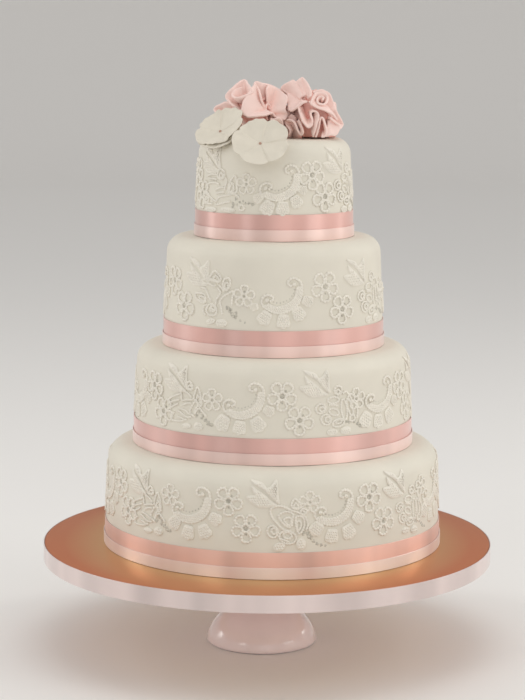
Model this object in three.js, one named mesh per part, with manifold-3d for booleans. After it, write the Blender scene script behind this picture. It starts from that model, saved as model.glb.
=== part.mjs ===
// Four-tier wedding cake with raised white lace, satin ribbons and sugar flowers,
// on a gold drum board that stands on a low ceramic pedestal.
// Millimetres, +Z up, front towards -Y. The origin is on the floor under the board's centre.

import * as THREE from 'three';
import { mergeVertices } from 'three/addons/utils/BufferGeometryUtils.js';
import Module from 'manifold-3d';

const wasm = await Module();
wasm.setup();

// Space left between pieces that rest on or against each other.
const GAP = 0.3;

const COLOURS = {
  fondant: 0xf2e9dc,
  duskyRibbon: 0xd29f90,
  paleRibbon: 0xeccabb,
  whiteRibbon: 0xefe6e2,
  goldFoil: 0xb98562,
  ceramic: 0xf4f0ec,
  petal: 0xf1e9dc,
  ruffle: 0xe8c0b8,
};

// The pedestal's outline from the floor up: radius and height of each turn.
const STAND = {
  offset: -4.5,
  height: 81,
  segments: 24,
  profile: [
    [48.8, 0], [50.2, 3], [48.4, 10], [44, 18], [36.5, 26.5], [26, 34], [18, 43],
    [18, 55], [28, 64], [97, 71], [100, 81],
  ],
};

const BOARD = { radius: 202.3, thickness: 15, ribbon: 0.8, segments: 40 };

// Each tier is a drum with a slight draft and a soft top edge, a wide ribbon and a narrow one.
// The lace repeats round it: pitch is the arc between two scrolls, spread stretches a group
// sideways, and a tier that the pitch doesn't divide has one spare sprig at the back.
const CAKE_OFFSET = 4.3;
const EDGE_STEPS = 3;
const SPARE_SHIFT = 0.25;
const DRAFT = 2.2;
const TIERS = [
  { radius: 151.2, height: 92.2, edge: 17, segments: 32, repeats: 7, pitch: 126, spread: 1,
    firstScroll: -27.3, scrollHeight: 58.5, peonyHeight: 49, spare: true },
  { radius: 124.8, height: 88.1, edge: 15, segments: 28, repeats: 6, pitch: 130.6, spread: 0.97,
    firstScroll: -11.6, scrollHeight: 54, peonyHeight: 46.5, spare: false },
  { radius: 98, height: 96.9, edge: 15, segments: 26, repeats: 4, pitch: 153.9, spread: 1.14,
    firstScroll: 4.3, scrollHeight: 52.7, peonyHeight: 47, spare: false },
  { radius: 69.8, height: 86.5, edge: 14, segments: 22, repeats: 3, pitch: 126.6, spread: 0.86,
    firstScroll: 4.2, scrollHeight: 50.4, peonyHeight: 43.5, spare: true },
];

const RIBBON = { thickness: 0.7, wide: 23, narrow: 10 };

// Lace relief: how far its rim and middle stand out, how deep it is keyed in, and its motifs.
const LACE = {
  rim: 1.2,
  peak: 2.6,
  key: 40,
  petals: 5,
  notch: 0.7,
  flower: 13.6,
  smallFlower: 8.5,
  scroll: {
    belly: [3, -8],
    outline: [
      [3, -16.5], [14, -24], [13, -13], [25, -11], [17, -2], [16.5, 10], [9, 16], [4, -4],
      [-4, 2], [-12, 4], [-16, -5], [-20, -17], [-8.5, -14.5], [-4, -25.5],
    ],
  },
};

// Sugar blossoms: centre from the cake's axis and the top tier's base, and the way they face.
const BLOSSOMS = [
  { name: 'blossom_front', centre: [-12.4, -67.1, 83.9], azimuth: -8, elevation: 38, radius: 24, turn: 24 },
  { name: 'blossom_left', centre: [-47.3, -36.9, 92.5], azimuth: -28, elevation: 35, radius: 23, turn: 60 },
];
const PETAL = { count: 5, across: 3, along: 2, thickness: 1.5, cup: 3.2, lift: 1.1, bead: 2.6 };

// Ruffled flowers: bands of a strip that folds to and fro stand on edge round a core. A band's
// tilt is its elevation on the heap, and swing is how far its rim folds to either side. The two
// heaps meet at a plane across X, and meets tells which side of that plane a flower keeps.
const RUFFLE = {
  thickness: 1.9, core: 0.88, inner: 0.64, level: 14, meeting: 11, block: 140, closing: 0.975,
  steps: 3,
  bands: [
    { tilt: -10, folds: 6, swing: 14, turn: 0 },
    { tilt: 22, folds: 5, swing: 16, turn: 12 },
    { tilt: 52, folds: 4, swing: 15, turn: 40 },
    { tilt: 78, folds: 2, swing: 14, turn: 20 },
  ],
};
const RUFFLE_FLOWERS = [
  { name: 'ruffle_flower_left', centre: [-20.5, -4], radius: 32, rise: 37, start: 100, meets: -1 },
  { name: 'ruffle_flower_right', centre: [33, -8], radius: 29.5, rise: 38, start: 70, meets: 1 },
];

const UP = new THREE.Vector3(0, 0, 1);

function material(name, roughness, metalness = 0) {
  return new THREE.MeshStandardMaterial({ color: COLOURS[name], roughness, metalness });
}

function degrees(angle) {
  return THREE.MathUtils.degToRad(angle);
}

// A closed mesh as a solid that can be joined and cut. Triangles that a shape drew together
// into a line or a point are left out.
function solidOf(geometry) {
  const bare = geometry.clone();
  bare.deleteAttribute('normal');
  bare.deleteAttribute('uv');
  const merged = mergeVertices(bare, 1e-4);
  const corner = merged.index.array;
  const triangles = [];
  for (let first = 0; first < corner.length; first += 3) {
    const [a, b, c] = corner.slice(first, first + 3);
    if (a !== b && b !== c && c !== a) triangles.push(a, b, c);
  }
  return new wasm.Manifold(new wasm.Mesh({
    numProp: 3,
    vertProperties: new Float32Array(merged.attributes.position.array),
    triVerts: new Uint32Array(triangles),
  }));
}

function geometryOf(solid) {
  const { vertProperties, triVerts } = solid.getMesh();
  const geometry = new THREE.BufferGeometry();
  geometry.setAttribute('position', new THREE.BufferAttribute(vertProperties, 3));
  geometry.setIndex(new THREE.BufferAttribute(triVerts, 1));
  geometry.computeVertexNormals();
  return geometry;
}

// A turned body: the profile lists radius and height from the bottom to the top.
function turned(profile, segments) {
  const points = profile.map(([radius, height]) => new THREE.Vector2(radius, height));
  return new THREE.LatheGeometry(points, segments).rotateX(Math.PI / 2);
}

function disc(outline, segments) {
  const bottom = outline[0][1];
  const top = outline[outline.length - 1][1];
  return turned([[0, bottom], ...outline, [0, top]], segments);
}

function ring(inner, outer, bottom, top, segments) {
  return turned([[inner, bottom], [outer, bottom], [outer, top], [inner, top], [inner, bottom]], segments);
}

function named(name, geometry, finish) {
  const mesh = new THREE.Mesh(geometry, finish);
  mesh.name = name;
  return mesh;
}

// Radius of a tier's side at a height above its base: straight with a draft, then the soft edge.
function sideRadius(tier, height) {
  const edgeStart = tier.height - tier.edge;
  const upper = tier.radius - DRAFT;
  if (height <= RIBBON.wide) return tier.radius;
  if (height <= edgeStart) {
    return THREE.MathUtils.mapLinear(height, RIBBON.wide, edgeStart, tier.radius, upper);
  }
  const rise = Math.min(height - edgeStart, tier.edge);
  return upper - tier.edge + Math.sqrt(tier.edge ** 2 - rise ** 2);
}

function tierOutline(tier) {
  const outline = [[tier.radius, 0], [tier.radius, RIBBON.wide]];
  for (let step = 0; step <= EDGE_STEPS; step += 1) {
    const rise = tier.edge * Math.sin((step / EDGE_STEPS) * Math.PI / 2);
    const height = tier.height - tier.edge + rise;
    outline.push([sideRadius(tier, height), height]);
  }
  return outline;
}

function polar(radius, angle) {
  return new THREE.Vector2(radius * Math.cos(angle), radius * Math.sin(angle));
}

// A low relief over an outline that runs anticlockwise. Its rim is at 0, its middle rises to 1,
// and its underside tapers in to a point at -1.
function raised(outline) {
  const relief = turned([[0, -1], [1, 0], [0, 1]], outline.length);
  for (let corner = 0; corner <= outline.length; corner += 1) {
    relief.attributes.position.setXYZ(3 * corner + 1, ...outline[corner % outline.length], 0);
  }
  return relief;
}

// An outline that runs out to each tip and back to a notch before the next tip.
function starOutline(tips, notch) {
  return tips.flatMap(([x, y], index) => {
    const [nextX, nextY] = tips[(index + 1) % tips.length];
    return [[x, y], [(x + nextX) * 0.5 * notch, (y + nextY) * 0.5 * notch]];
  });
}

function petalTips(radius, firstTip) {
  const tips = [];
  for (let petal = 0; petal < LACE.petals; petal += 1) {
    tips.push(polar(radius, degrees(firstTip + (petal * 360) / LACE.petals)).toArray());
  }
  return tips;
}

// A crescent open to the upper left, with a curl at each end and four tabs that hang from its
// back. Its outline is given from the scroll's centre, and its belly lies to the lower right.
function scrollRelief() {
  const { belly, outline } = LACE.scroll;
  return raised(outline.map(([x, y]) => [x - belly[0], y - belly[1]])).translate(...belly, 0);
}

// Two large flowers and the three-pointed leaf above them. Places are the arc from the scroll's
// centre and the height above the tier's base.
function flowerPair(tier) {
  const flower = starOutline(petalTips(LACE.flower, -90), LACE.notch);
  const leaf = [[11.5, -9.5], [9, 12.5], [1, 5], [-10, 9.5], [-9, 0], [-14, -6.5]];
  return [
    { relief: raised(flower), along: 34, height: tier.scrollHeight + 7 },
    { relief: raised(flower), along: 49.5, height: tier.scrollHeight - 13.5 },
    { relief: raised(leaf), along: 64, height: tier.scrollHeight + 16 },
  ];
}

// One group of the lace pattern, from the scroll to the small flower before the next scroll.
function laceGroup(tier) {
  const peony = [[11.5, -16], [16, 6], [0.5, 23], [-14.5, 9], [-11, -17]];
  return [
    { relief: scrollRelief(), along: 0, height: tier.scrollHeight },
    ...flowerPair(tier),
    { relief: raised(starOutline(peony, 0.8)), along: 86, height: tier.peonyHeight },
    { relief: raised(petalTips(LACE.smallFlower, 90)), along: 104, height: tier.scrollHeight + 4 },
  ];
}

// A relief on the tier's side: its face follows the side, and its underside runs in to one point
// inside the fondant, so that its edges stay crisp with few faces.
function onTier(tier, relief, along, base) {
  const geometry = relief.clone();
  const position = geometry.attributes.position;
  const middle = along / tier.radius;
  for (let index = 0; index < position.count; index += 1) {
    const [x, y, z] = [position.getX(index), position.getY(index), position.getZ(index)];
    const keyed = z < -0.5;
    const height = base + y;
    const azimuth = middle + x / tier.radius;
    const outer = sideRadius(tier, height) + THREE.MathUtils.lerp(LACE.rim, LACE.peak, z);
    const radius = keyed ? tier.radius - LACE.key : outer;
    position.setXYZ(index, radius * Math.sin(azimuth), -radius * Math.cos(azimuth), height);
  }
  return geometry;
}

function lacedTier(tier) {
  const solids = [solidOf(disc(tierOutline(tier), tier.segments))];
  const addGroup = (motifs, step) => {
    const start = degrees(tier.firstScroll) * tier.radius + step * tier.pitch;
    motifs.forEach(({ relief, along, height }) => {
      solids.push(solidOf(onTier(tier, relief, start + along * tier.spread, height)));
    });
  };
  const back = Math.floor(tier.repeats / 2);
  for (let repeat = 0; repeat < tier.repeats; repeat += 1) addGroup(laceGroup(tier), repeat - back);
  if (tier.spare) addGroup(flowerPair(tier), tier.repeats - back - SPARE_SHIFT);
  return wasm.Manifold.union(solids);
}

// A thin sheet: the box's two faces follow placeAt over u and v, a thickness apart.
function sheet(across, along, thickness, placeAt) {
  const geometry = new THREE.BoxGeometry(2, 1, 1, across, along, 1);
  const position = geometry.attributes.position;
  const step = 1e-3;
  for (let index = 0; index < position.count; index += 1) {
    const u = position.getX(index);
    const v = position.getY(index) + 0.5;
    const side = position.getZ(index) * thickness;
    const here = placeAt(u, v);
    const alongU = placeAt(u + step, v).sub(placeAt(u - step, v));
    const alongV = placeAt(u, v + step).sub(placeAt(u, v - step));
    here.addScaledVector(alongU.cross(alongV).normalize(), side);
    position.setXYZ(index, here.x, here.y, here.z);
  }
  return geometry;
}

// One broad, cupped petal in the XY plane, with its foot near the origin and its tip along +Y.
function petalSheet(radius) {
  return sheet(PETAL.across, PETAL.along, PETAL.thickness, (u, v) => {
    const reach = radius * (0.06 + 0.94 * v) * (1 - 0.16 * u * u * v);
    const fan = u * degrees(46) * (0.8 + 0.2 * v);
    const lift = PETAL.cup * v * v + PETAL.lift * u;
    return new THREE.Vector3(reach * Math.sin(fan), reach * Math.cos(fan), lift);
  });
}

function blossom({ radius, turn }) {
  const petals = [];
  for (let petal = 0; petal < PETAL.count; petal += 1) {
    const angle = degrees(turn + (petal * 360) / PETAL.count);
    petals.push(solidOf(petalSheet(radius).rotateZ(angle)));
  }
  petals.push(solidOf(new THREE.IcosahedronGeometry(PETAL.bead, 0)));
  return geometryOf(wasm.Manifold.union(petals));
}

// Turns a flower modelled face up so that its face points out at the azimuth and elevation.
function facing(azimuth, elevation) {
  const out = new THREE.Vector3(
    Math.sin(degrees(azimuth)) * Math.cos(degrees(elevation)),
    -Math.cos(degrees(azimuth)) * Math.cos(degrees(elevation)),
    Math.sin(degrees(elevation)),
  );
  return new THREE.Quaternion().setFromUnitVectors(UP, out);
}

// A point on the heap's rounded outline, or inside it where the scale is below 1.
function onHeap({ radius, rise }, azimuth, elevation, scale) {
  return new THREE.Vector3(
    radius * scale * Math.cos(elevation) * Math.cos(azimuth),
    radius * scale * Math.cos(elevation) * Math.sin(azimuth),
    RUFFLE.level + rise * scale * Math.sin(elevation),
  );
}

// One band: it runs round the heap and folds up and down, most of all at its outer rim.
function ruffleBand(flower, band) {
  return sheet(band.folds * RUFFLE.steps, 1, RUFFLE.thickness, (u, v) => {
    const fold = Math.sin(Math.PI * (u + 1) * band.folds) * THREE.MathUtils.lerp(0.4, 1, v);
    const elevation = degrees(band.tilt + band.swing * fold);
    const azimuth = degrees(flower.start + band.turn) + u * Math.PI * RUFFLE.closing;
    return onHeap(flower, azimuth, elevation, THREE.MathUtils.lerp(RUFFLE.inner, 1, v));
  });
}

// The bands and their core, cut flat where they stand on the tier and where the two heaps meet.
function ruffleFlower(flower) {
  const core = new THREE.IcosahedronGeometry(1, 0)
    .scale(flower.radius * RUFFLE.core, flower.radius * RUFFLE.core, flower.rise * RUFFLE.core)
    .translate(0, 0, RUFFLE.level);
  const bands = RUFFLE.bands.map((band) => solidOf(ruffleBand(flower, band)));
  const block = new THREE.BoxGeometry(RUFFLE.block, RUFFLE.block, RUFFLE.block);
  const toMeeting = RUFFLE.meeting - flower.centre[0] + (flower.meets * GAP) / 2;
  const below = solidOf(block.clone().translate(0, 0, -RUFFLE.block / 2));
  const beside = solidOf(block.clone().translate(toMeeting - (flower.meets * RUFFLE.block) / 2, 0, 0));
  return geometryOf(wasm.Manifold.union([solidOf(core), ...bands]).subtract(below).subtract(beside));
}

const cake = new THREE.Group();

const stand = named('cake_stand', disc(STAND.profile, STAND.segments), material('ceramic', 0.15));
stand.position.x = STAND.offset;
cake.add(stand);

const board = new THREE.Group();
board.position.z = STAND.height + GAP;
const boardInner = BOARD.radius + GAP;
board.add(
  named('cake_board', disc([[BOARD.radius, 0], [BOARD.radius, BOARD.thickness]], BOARD.segments),
    material('goldFoil', 0.35, 0.6)),
  named('board_ribbon', ring(boardInner, boardInner + BOARD.ribbon, 0, BOARD.thickness, BOARD.segments),
    material('whiteRibbon', 0.4)),
);
cake.add(board);

let level = board.position.z + BOARD.thickness + GAP;
let topLevel = level;
TIERS.forEach((tier, index) => {
  const group = new THREE.Group();
  group.position.set(CAKE_OFFSET, 0, level);
  const number = index + 1;
  const wideInner = tier.radius + GAP;
  const narrowInner = wideInner + RIBBON.thickness + GAP;
  group.add(
    named(`tier_${number}`, geometryOf(lacedTier(tier)), material('fondant', 0.65)),
    named(`ribbon_wide_${number}`,
      ring(wideInner, wideInner + RIBBON.thickness, 0, RIBBON.wide, tier.segments),
      material('duskyRibbon', 0.35)),
    named(`ribbon_narrow_${number}`,
      ring(narrowInner, narrowInner + RIBBON.thickness, 0, RIBBON.narrow, tier.segments),
      material('paleRibbon', 0.35)),
  );
  cake.add(group);
  topLevel = level + tier.height;
  level = topLevel + GAP;
});

RUFFLE_FLOWERS.forEach((flower) => {
  const mesh = named(flower.name, ruffleFlower(flower), material('ruffle', 0.6));
  mesh.position.set(CAKE_OFFSET + flower.centre[0], flower.centre[1], topLevel + GAP);
  cake.add(mesh);
});

BLOSSOMS.forEach((flower) => {
  const mesh = named(flower.name, blossom(flower), material('petal', 0.6));
  const [x, y, z] = flower.centre;
  mesh.position.set(CAKE_OFFSET + x, y, topLevel - TIERS[3].height + z);
  mesh.quaternion.copy(facing(flower.azimuth, flower.elevation));
  cake.add(mesh);
});

export default cake;
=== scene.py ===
"""A four-tier wedding cake with piped lace, satin ribbons and sugar flowers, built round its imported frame.

Every piece is modelled in millimetres in the frame's own axes and is scaled to metres when it is finished.
"""

import math
import random

import bmesh
import bpy
from mathutils import Matrix, Vector, noise


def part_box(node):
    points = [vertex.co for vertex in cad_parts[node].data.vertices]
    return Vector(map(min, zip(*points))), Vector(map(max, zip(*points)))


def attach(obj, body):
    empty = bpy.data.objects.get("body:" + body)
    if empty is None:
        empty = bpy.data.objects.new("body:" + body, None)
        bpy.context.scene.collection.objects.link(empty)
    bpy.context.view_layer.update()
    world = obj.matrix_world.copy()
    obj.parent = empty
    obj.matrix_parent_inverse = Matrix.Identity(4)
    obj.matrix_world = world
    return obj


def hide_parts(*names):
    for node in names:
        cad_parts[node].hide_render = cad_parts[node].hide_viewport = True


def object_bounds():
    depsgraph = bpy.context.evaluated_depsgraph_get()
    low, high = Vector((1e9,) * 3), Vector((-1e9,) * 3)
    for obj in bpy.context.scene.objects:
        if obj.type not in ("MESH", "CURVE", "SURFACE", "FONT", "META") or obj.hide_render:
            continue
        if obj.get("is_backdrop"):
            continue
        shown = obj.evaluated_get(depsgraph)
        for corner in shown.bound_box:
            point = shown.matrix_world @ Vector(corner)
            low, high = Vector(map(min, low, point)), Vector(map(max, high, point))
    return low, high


bl_info = {
    "name": "Wedding Cake",
    "version": (1, 0, 0),
    "blender": (4, 5, 0),
    "location": "View3D > Sidebar > Cake",
    "description": "Tiered cake with lace relief, ribbons, a foil board, a pedestal and sugar flowers",
    "category": "Object",
}

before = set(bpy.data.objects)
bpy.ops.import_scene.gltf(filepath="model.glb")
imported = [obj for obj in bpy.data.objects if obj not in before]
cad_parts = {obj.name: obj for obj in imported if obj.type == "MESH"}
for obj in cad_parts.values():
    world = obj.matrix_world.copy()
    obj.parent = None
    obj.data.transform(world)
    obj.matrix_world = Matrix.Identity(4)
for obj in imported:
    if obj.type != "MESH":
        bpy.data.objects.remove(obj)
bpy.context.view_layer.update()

MM = 0.001
BODY = "root"
SEED = 20

# What each tier's CAD ribbons keep free between the fondant and themselves, and their thickness.
GAP = 0.3
RIBBON_THICKNESS = 0.7

# Soft top edge of each tier from the bottom one up, and how much a side leans in.
EDGES = (17, 15, 15, 14)
DRAFT = 2.2
RIBBON_TOP = 23.0

# Where the lace starts on each tier, the arc from one scroll to the next, how far a group is spread
# sideways, the height of each motif above the tier's foot, the kinds of peony in turn, and how far a
# motif is moved along. A spare sprig fills the back.
LACE_ROWS = (
    {"repeats": 7, "pitch": 126.0, "spread": 1.0, "first": -27.3, "spare": True,
     "scroll": 59.0, "flower_a": 66.0, "flower_b": 43.5, "leaf": 73.0, "peony": 48.5, "small": 65.5,
     "peonies": ("wide_peony", "looped_peony", "tall_peony"), "nudge": {}},
    {"repeats": 6, "pitch": 130.6, "spread": 0.97, "first": -11.6, "spare": False,
     "scroll": 54.0, "flower_a": 59.5, "flower_b": 38.6, "leaf": 69.3, "peony": 46.5, "small": 54.0,
     "peonies": ("looped_peony", "wide_peony", "tall_peony"), "nudge": {"small": 1.0}},
    {"repeats": 4, "pitch": 153.9, "spread": 1.14, "first": 4.3, "spare": False,
     "scroll": 52.7, "flower_a": 60.3, "flower_b": 40.0, "leaf": 70.5, "peony": 48.0, "small": 52.5,
     "peonies": ("looped_peony", "open_peony"), "nudge": {"small": 2.0}},
    {"repeats": 3, "pitch": 126.6, "spread": 0.86, "first": 4.2, "spare": True,
     "scroll": 49.5, "flower_a": 57.0, "flower_b": 38.0, "leaf": 68.5, "peony": 45.0, "small": 49.0,
     "peonies": ("arched_peony", "looped_peony", "wide_peony"), "nudge": {"peony": 2.0, "small": 7.0}},
)
SPARE_SHIFT = 0.25

# Arc from a scroll's centre to each motif that follows it.
ALONG = {"scroll": 0.0, "flower_a": 34.0, "flower_b": 49.5, "leaf": 64.0, "peony": 86.0, "small": 104.0}

# Tabs that hang under the scroll on each tier: offset from its centre, turn and size.
TABS = (
    ((-16, -16, -35, 1.0), (-2.5, -23, -5, 1.0), (13, -20.5, 25, 1.05), (22.5, -9, 60, 0.95)),
    ((-18.5, -18.5, -30, 1.1), (-3.3, -21.7, -5, 1.0), (12.2, -18.5, 30, 1.05), (21.4, -7, 65, 0.8)),
    ((-24, -9, -70, 0.6), (-15, -18, -35, 1.0), (1, -20.7, 0, 1.0), (14, -14.5, 30, 0.95),
     (22, -4, 70, 0.8)),
    ((-19, -12, -55, 0.7), (-11, -20, -25, 1.0), (2, -20.5, 0, 1.0), (14, -15, 30, 0.9),
     (19.5, -5, 70, 0.7)),
)

# Sugar blossoms: hub from the cake's axis and the top tier's foot, the way they face, and their layers
# of petals with each petal's reach and lift, how far the edge notches between two, and its level.
BLOSSOMS = {
    "blossom_front": {"hub": (-12.4, -67.1, 83.9), "azimuth": -8, "elevation": 38, "layers": (
        {"turn": 20, "reach": (25.0, 25.2, 24.0, 24.2, 23.4), "lift": (4.6, 2.6, 3.4, 5.2, 3.4),
         "notch": 0.10, "low": 0.0},)},
    "blossom_left": {"hub": (-47.3, -36.9, 92.5), "azimuth": -28, "elevation": 47, "layers": (
        {"turn": 12, "reach": (25.5, 22.0, 18.5, 22.5, 21.5), "lift": (5.0, 7.5, 3.4, 2.5, 4.0),
         "notch": 0.10, "low": 0.0},
        {"turn": 10, "reach": (12.0, 20.0, 21.9, 22.0, 12.0), "lift": (0.0, 1.6, 2.2, 1.6, 0.0),
         "notch": 0.04, "low": -0.7})},
}

# The camera of the photograph: distance in front of the board's middle and height above its top,
# its tilt, and the focal length for a frame whose long side is the sensor's 36 mm.
CAMERA = {"distance": 1900.0, "height": 459.0, "pitch": 8.55, "yaw": 0.16, "roll": 0.37, "lens": 109.5}

# Soft lights round the cake: name, angle round it from the front, distance and height in metres, width
# and height of the light in metres, spread in degrees, power and colour.
LIGHTS = (
    ("left_front_window", -40, 2.1, 1.15, 0.5, 1.3, 180, 5.3, (1.0, 0.99, 0.97)),
    ("left_side_window", -104, 2.1, 1.15, 0.5, 1.3, 180, 7.8, (1.0, 0.99, 0.97)),
    ("right_front_window", 62, 2.1, 1.25, 0.9, 1.3, 180, 8.0, (1.0, 0.98, 0.94)),
    ("right_side_window", 112, 2.1, 1.25, 0.5, 1.3, 180, 7.8, (1.0, 0.98, 0.94)),
    ("front_card", 10, 2.4, 0.45, 1.3, 0.7, 180, 2.0, (1.0, 0.98, 0.96)),
    ("low_left_card", -100, 0.9, 0.2, 0.6, 0.3, 70, 0.04, (1.0, 0.97, 0.94)),
    ("low_right_card", 64, 0.9, 0.2, 0.6, 0.3, 70, 0.065, (1.0, 0.97, 0.94)),
    ("overhead", 20, 0.3, 2.3, 1.2, 1.3, 180, 6.6, (1.0, 0.98, 0.95)),
)

# Radius in metres at which the studio floor starts to bend up.
FLOOR_REACH = 6

# Vertices that lie closer than this are one.
WELD = 1e-3

# The pedestal's outline as radius and height: its foot, the dome and stem above it, and its plate.
STAND_FOOT = ((0, 0), (46.8, 0), (48.6, 0.5), (49.8, 1.4))
STAND_DOME = ((50.2, 2.6), (49.6, 6), (48.2, 10.5), (44.2, 17.8), (36.8, 26.2), (26.5, 34), (18.8, 42),
              (17.2, 49), (19.6, 57), (30, 64.5), (60, 68.5), (96.5, 71.5))
STAND_PLATE = ((99, 73), (100, 76), (99.6, 79.6), (98, 80.8), (0, 81))

# The board: how far its foil stays inside the CAD rim, how far its lower edge rolls in and up, the roll
# of its upper edge, how far inside the CAD ribbon the edging starts, and the reach to each side over
# which the foil's painted reflection turns from gold to copper, whatever its height.
BOARD_INSET = 0.1
BOARD_FOOT = (0.8, 0.9)
BOARD_EDGE = 0.4
EDGING_DEPTH = 0.8
PAINTED_REFLECTION_REACH = (185.2, 217.4, math.inf)

# Rings of the fondant: the step between two up a tier's side, how many its soft edge has, and the size
# of the waves that the fondant swells in.
SIDE_STEP = 4.0
EDGE_STEPS = 8
FONDANT_SWELL = 38

# Thickness of the satin on the tiers, the roll of a woven edge, and the painted bounce light on the lowest
# pair of ribbons: how much lighter and more peach they are in red, green and blue, as if lit from the foil
# below.
RIBBON_CLOTH = 0.6
WOVEN_EDGE = 0.14
PAINTED_BOUNCE_TINT = {"dusky": (1.13, 1.21, 1.13), "pale": (1.14, 1.18, 1.19)}

# A piped line: the step along it, how high its middle lies, its mean thickness and how far that swells
# at a bead, as shares of its width, and how flat it settles.
PIPE_STEP = 0.6
PIPE_RISE = 0.45
PIPE_CORE = 0.95
PIPE_SWELL = 0.26
PIPE_SETTLE = 0.68

# A pillow under piped dots: how far it sinks in, the roll of its rim and the width of its strips.
PAD_SINK = 0.5
PAD_ROLL = 0.5
PAD_STRIP = 3

# A ruffled flower: the height of its heart, how far above its foot the painted shade of its deep folds
# centres, and the size of the paste inside it as a share of its outline.
HEAP_MIDDLE = 14
PAINTED_SHADE_MIDDLE = 4
HEART_SHARE = 0.68

# Its folds: the way the front ones face, how they are turned to the back and scaled, how a fold bends
# forward and spreads from where it is gathered, and how wide and deep its small waves are.
FRONT = Vector((0, -1, 0))
BACK_SCALE = (0.98, -1, 0.95)
FOLD_BEND = 1.7
FOLD_SPREAD = 1.25
FOLD_WAVE = 6
FOLD_WOBBLE = 0.7

# Where the short folds start round a flower and the sweep over its sides and back that they fill, in
# degrees.
FILLER_START = -50
FILLER_SWEEP = 280

# Petals: where one starts to drop under the next and the width of that drop, the waves of their frill and
# of the finer one, and how many millimetres they rise by the lap, the frills and their cupped shape.
LAP_START = 0.87
LAP_FALL = 0.14
FRILL_WAVES = 2.2
FINE_WAVES = 5
PETAL_LAP = 1.1
FRILL_RISE = 2.2
FINE_RISE = 1.3
PETAL_CUP = 1.6


class CakeSizes(bpy.types.PropertyGroup):
    """Sizes of the cake's finish that a maker would change."""

    line_width: bpy.props.FloatProperty(
        name="Piped line", description="Width of a piped lace line", default=2.7 * MM,
        min=1.0 * MM, max=4.0 * MM, unit="LENGTH")
    bead_pitch: bpy.props.FloatProperty(
        name="Bead pitch", description="Distance between the beads of a piped line", default=2.7 * MM,
        min=1.5 * MM, max=6.0 * MM, unit="LENGTH")
    dot_pitch: bpy.props.FloatProperty(
        name="Dot pitch", description="Distance between the piped dots of a filled motif", default=2.1 * MM,
        min=1.2 * MM, max=4.0 * MM, unit="LENGTH")
    fondant_wave: bpy.props.FloatProperty(
        name="Fondant wave", description="How far the rolled fondant swells in and out", default=0.35 * MM,
        min=0.0, max=2.0 * MM, unit="LENGTH")
    petal_thickness: bpy.props.FloatProperty(
        name="Petal thickness", description="Thickness of a sugar petal", default=1.0 * MM,
        min=0.5 * MM, max=3.0 * MM, unit="LENGTH")
    ruffle_thickness: bpy.props.FloatProperty(
        name="Ruffle thickness", description="Thickness of a ruffled sheet", default=1.9 * MM,
        min=0.5 * MM, max=3.0 * MM, unit="LENGTH")


class CakeColours(bpy.types.PropertyGroup):
    """Colours of the cake's finishes."""

    fondant: bpy.props.FloatVectorProperty(
        name="Fondant", description="Rolled white fondant", subtype="COLOR", default=(0.775, 0.735, 0.64))
    lace: bpy.props.FloatVectorProperty(
        name="Lace", description="Piped white lace", subtype="COLOR", default=(0.845, 0.805, 0.72))
    silver: bpy.props.FloatVectorProperty(
        name="Silver", description="Edible silver lustre", subtype="COLOR", default=(0.57, 0.54, 0.465))
    dusky: bpy.props.FloatVectorProperty(
        name="Dusky ribbon", description="Wide satin ribbon", subtype="COLOR",
        default=(0.735, 0.405, 0.355))
    pale: bpy.props.FloatVectorProperty(
        name="Pale ribbon", description="Narrow satin ribbon", subtype="COLOR", default=(0.86, 0.605, 0.55))
    edging: bpy.props.FloatVectorProperty(
        name="Board edging", description="White satin ribbon on the board", subtype="COLOR",
        default=(0.71, 0.585, 0.56))
    # The foil's gold near the cake, fading to copper at the rim, is a painted reflection; the real foil has
    # one even tone.
    foil: bpy.props.FloatVectorProperty(
        name="Foil", description="Coppery foil of the board's rim", subtype="COLOR",
        default=(0.63, 0.235, 0.135))
    foil_painted_reflection: bpy.props.FloatVectorProperty(
        name="Foil glow", description="Gold foil round the cake", subtype="COLOR",
        default=(0.69, 0.49, 0.275))
    # The glaze's pink tint is a painted reflection of pink surroundings; the ceramic itself is white.
    glaze_with_painted_pink: bpy.props.FloatVectorProperty(
        name="Glaze", description="Glazed pedestal", subtype="COLOR", default=(0.98, 0.83, 0.82))
    petal: bpy.props.FloatVectorProperty(
        name="Petal", description="White sugar petals", subtype="COLOR", default=(0.76, 0.71, 0.61))
    heart: bpy.props.FloatVectorProperty(
        name="Blossom heart", description="Dusky ball in a blossom's middle", subtype="COLOR",
        default=(0.50, 0.32, 0.25))
    ruffle: bpy.props.FloatVectorProperty(
        name="Ruffle", description="Pink sugar ruffles", subtype="COLOR", default=(0.95, 0.72, 0.665))
    # Painted shade: the deeper, redder pink that the ruffles take towards their hearts, where the folds lie
    # in shade.
    ruffle_painted_shade: bpy.props.FloatVectorProperty(
        name="Ruffle depth", description="Pink of the ruffles' deep folds", subtype="COLOR",
        default=(0.95, 0.42, 0.35))


def sizes():
    """The maker's sizes, in millimetres by name."""
    group = bpy.context.scene.cake_sizes
    return {name: getattr(group, name) / MM for name in CakeSizes.__annotations__}


def colours():
    return bpy.context.scene.cake_colours


def node_box(node):
    """Lowest and highest corners of a CAD node in millimetres."""
    low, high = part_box(node)
    return low / MM, high / MM


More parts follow.
